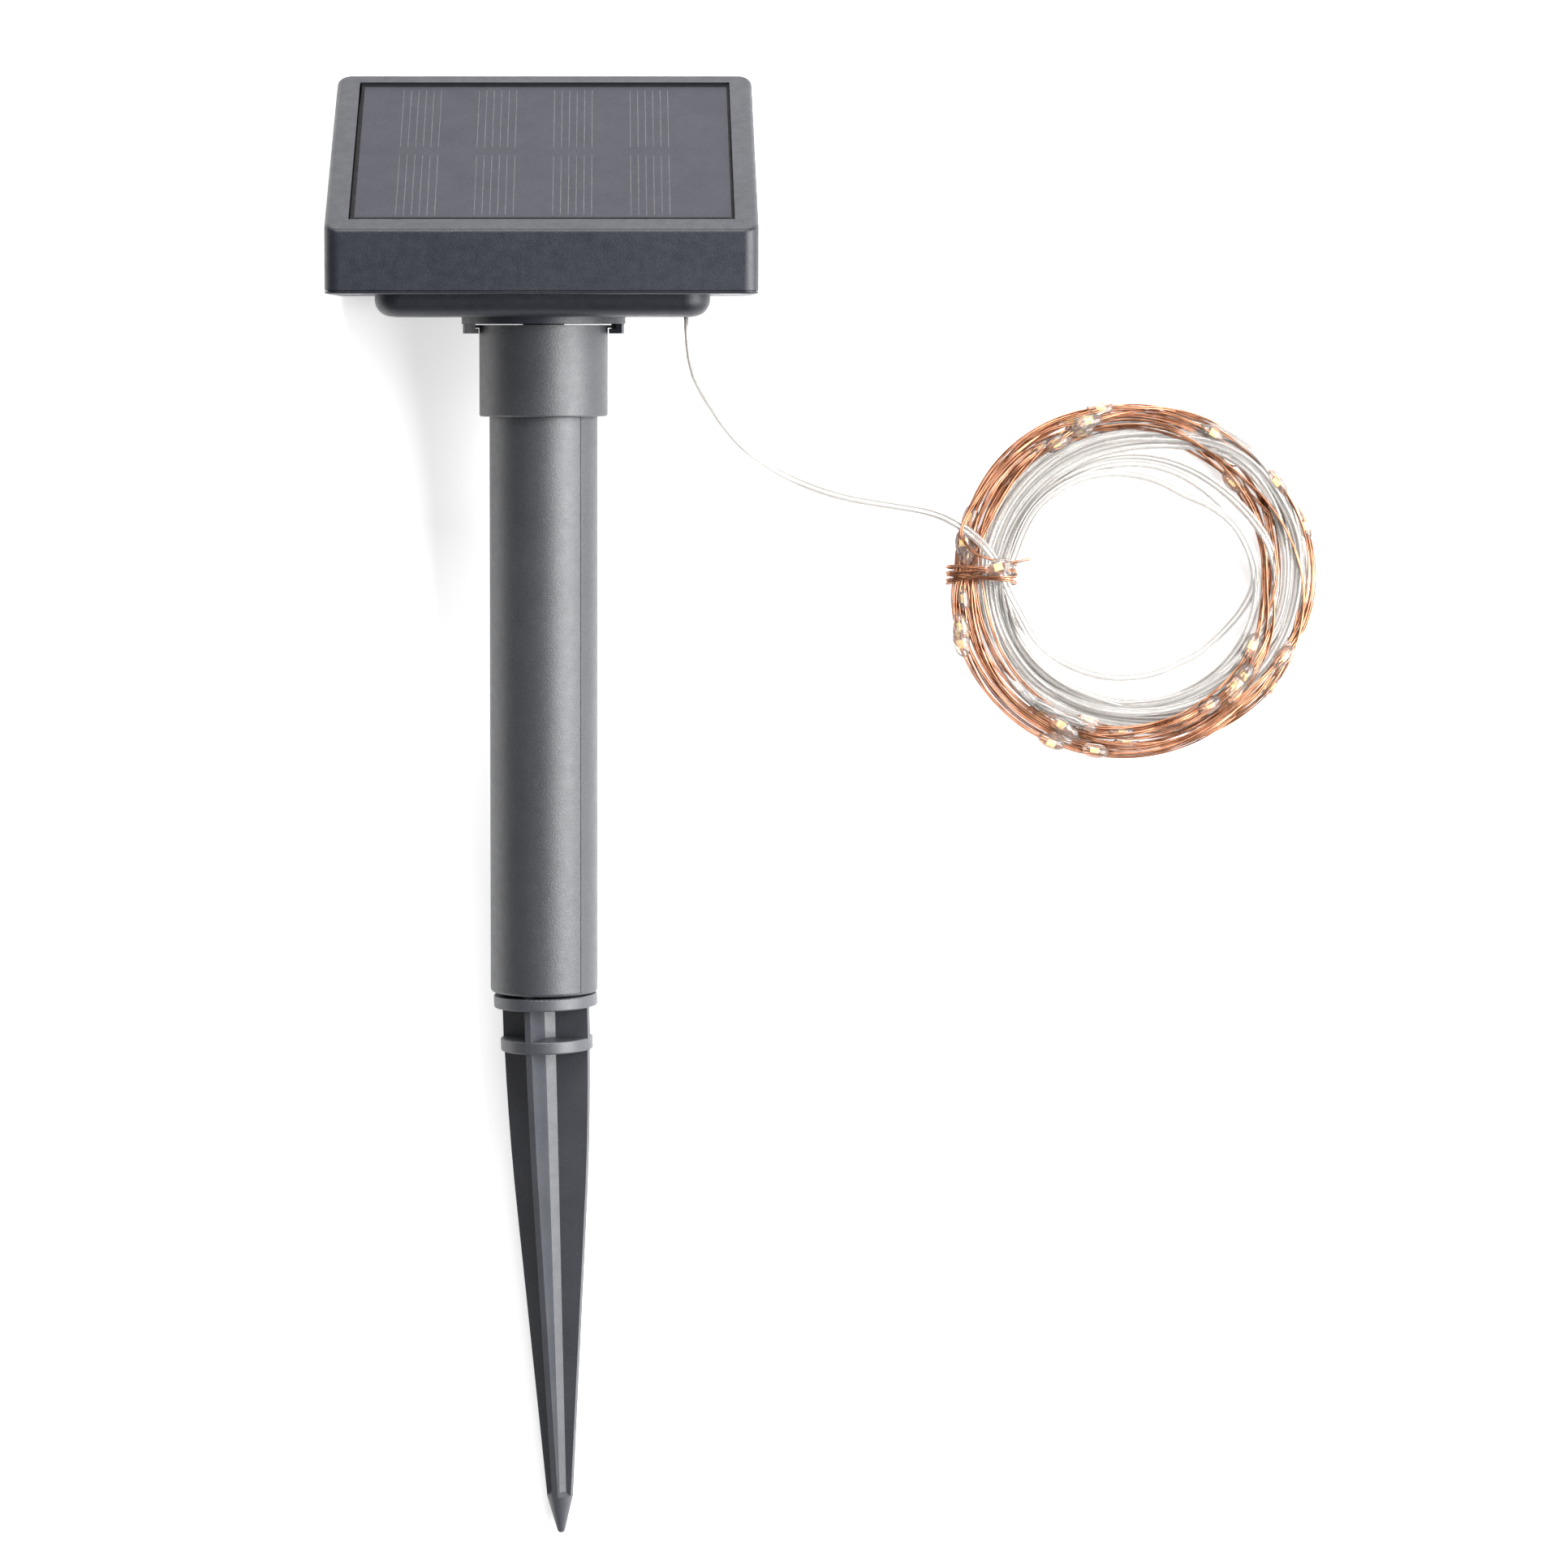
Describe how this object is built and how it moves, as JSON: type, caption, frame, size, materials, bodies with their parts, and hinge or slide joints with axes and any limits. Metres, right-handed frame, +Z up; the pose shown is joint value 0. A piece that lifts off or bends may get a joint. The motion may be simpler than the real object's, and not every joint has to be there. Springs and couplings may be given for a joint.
{
  "type": "solar string lights",
  "caption": "Wedge-shaped solar head on a round pole with a ribbed ground spike, and a coiled clear lead with a copper micro light string.",
  "frame": {"origin": "on the floor, under the middle of the box round head, pole and spike, as the object lies on its back", "axes": "+X to the right facing the panel, +Y from the spike to the head, +Z up from the floor"},
  "size_m": [0.2392, 0.3562, 0.067],
  "materials": {
    "housing_plastic": "fine spark-eroded grain, satin, dark anthracite",
    "pole_plastic": "fine spark-eroded grain, satin, grey anthracite",
    "spike_plastic": "smooth moulded, semi-gloss anthracite",
    "button_plastic": "satin black",
    "seal_rubber": "matt black",
    "panel_clear": "clear epoxy, softly satin",
    "silicon": "dark blue-black silicon with fine silver lines",
    "board_black": "black laminate",
    "board_green": "green solder mask",
    "component_black": "moulded black",
    "holder_plastic": "black",
    "battery_sleeve": "plain green shrink sleeve",
    "steel": "nickel plated",
    "lead_insulation": "thin insulated wire",
    "clear_cord": "clear PVC over tinned copper cores",
    "copper": "enamelled copper wire, satin",
    "led_resin": "clear resin with a yellow light chip"
  },
  "bodies": {
    "head": {"top_frame": "housing_plastic", "base_cover": "housing_plastic", "housing_seal": "seal_rubber", "housing_screws": "steel", "panel_gasket": "seal_rubber", "panel_board": "board_black", "solar_cells": "silicon", "panel_cover": "panel_clear", "battery_holder": "holder_plastic", "battery_cell": "battery_sleeve", "battery_contact": "steel", "battery_spring": "steel", "controller_board": "board_green", "board_components": "component_black", "board_screws": "steel", "tact_switches": "component_black", "button_seals": "seal_rubber", "cable_grommet": "seal_rubber", "panel_leads": "lead_insulation", "battery_leads": "lead_insulation", "lead_wire": "clear_cord", "light_coil": "copper", "coil_tie": "copper", "splice_sleeve": "clear_cord", "led_beads": "led_resin"},
    "power_key": {"power_button": "button_plastic"},
    "mode_key": {"mode_button": "button_plastic"},
    "collar_cap": {"collar": "pole_plastic"},
    "pole": {"pole_tube": "pole_plastic"},
    "spike": {"ground_spike": "spike_plastic"}
  },
  "joints": [
    {"name": "twist_lock", "type": "hinge", "parent": "head", "child": "collar_cap", "pos_m": [0, 0.1147, 0.02915], "axis": [0, -0.9958, -0.091], "range_deg": [0, 30]},
    {"name": "pole_swivel", "type": "hinge", "parent": "collar_cap", "child": "pole", "pos_m": [0, 0.10305, 0.02809], "axis": [0, -0.9958, -0.091], "continuous": true},
    {"name": "spike_pull", "type": "slide", "parent": "pole", "child": "spike", "axis": [0, -0.9958, -0.091], "range_m": [0, 0.023]},
    {"name": "power_press", "type": "slide", "parent": "head", "child": "power_key", "axis": [0, 0.9958, 0.091], "range_m": [0, 0.0009], "stiffness_N_per_m": 1500, "springref_m": -0.0003},
    {"name": "mode_press", "type": "slide", "parent": "head", "child": "mode_key", "axis": [0, 0.9958, 0.091], "range_m": [0, 0.0009], "stiffness_N_per_m": 1500, "springref_m": -0.0003}
  ]
}
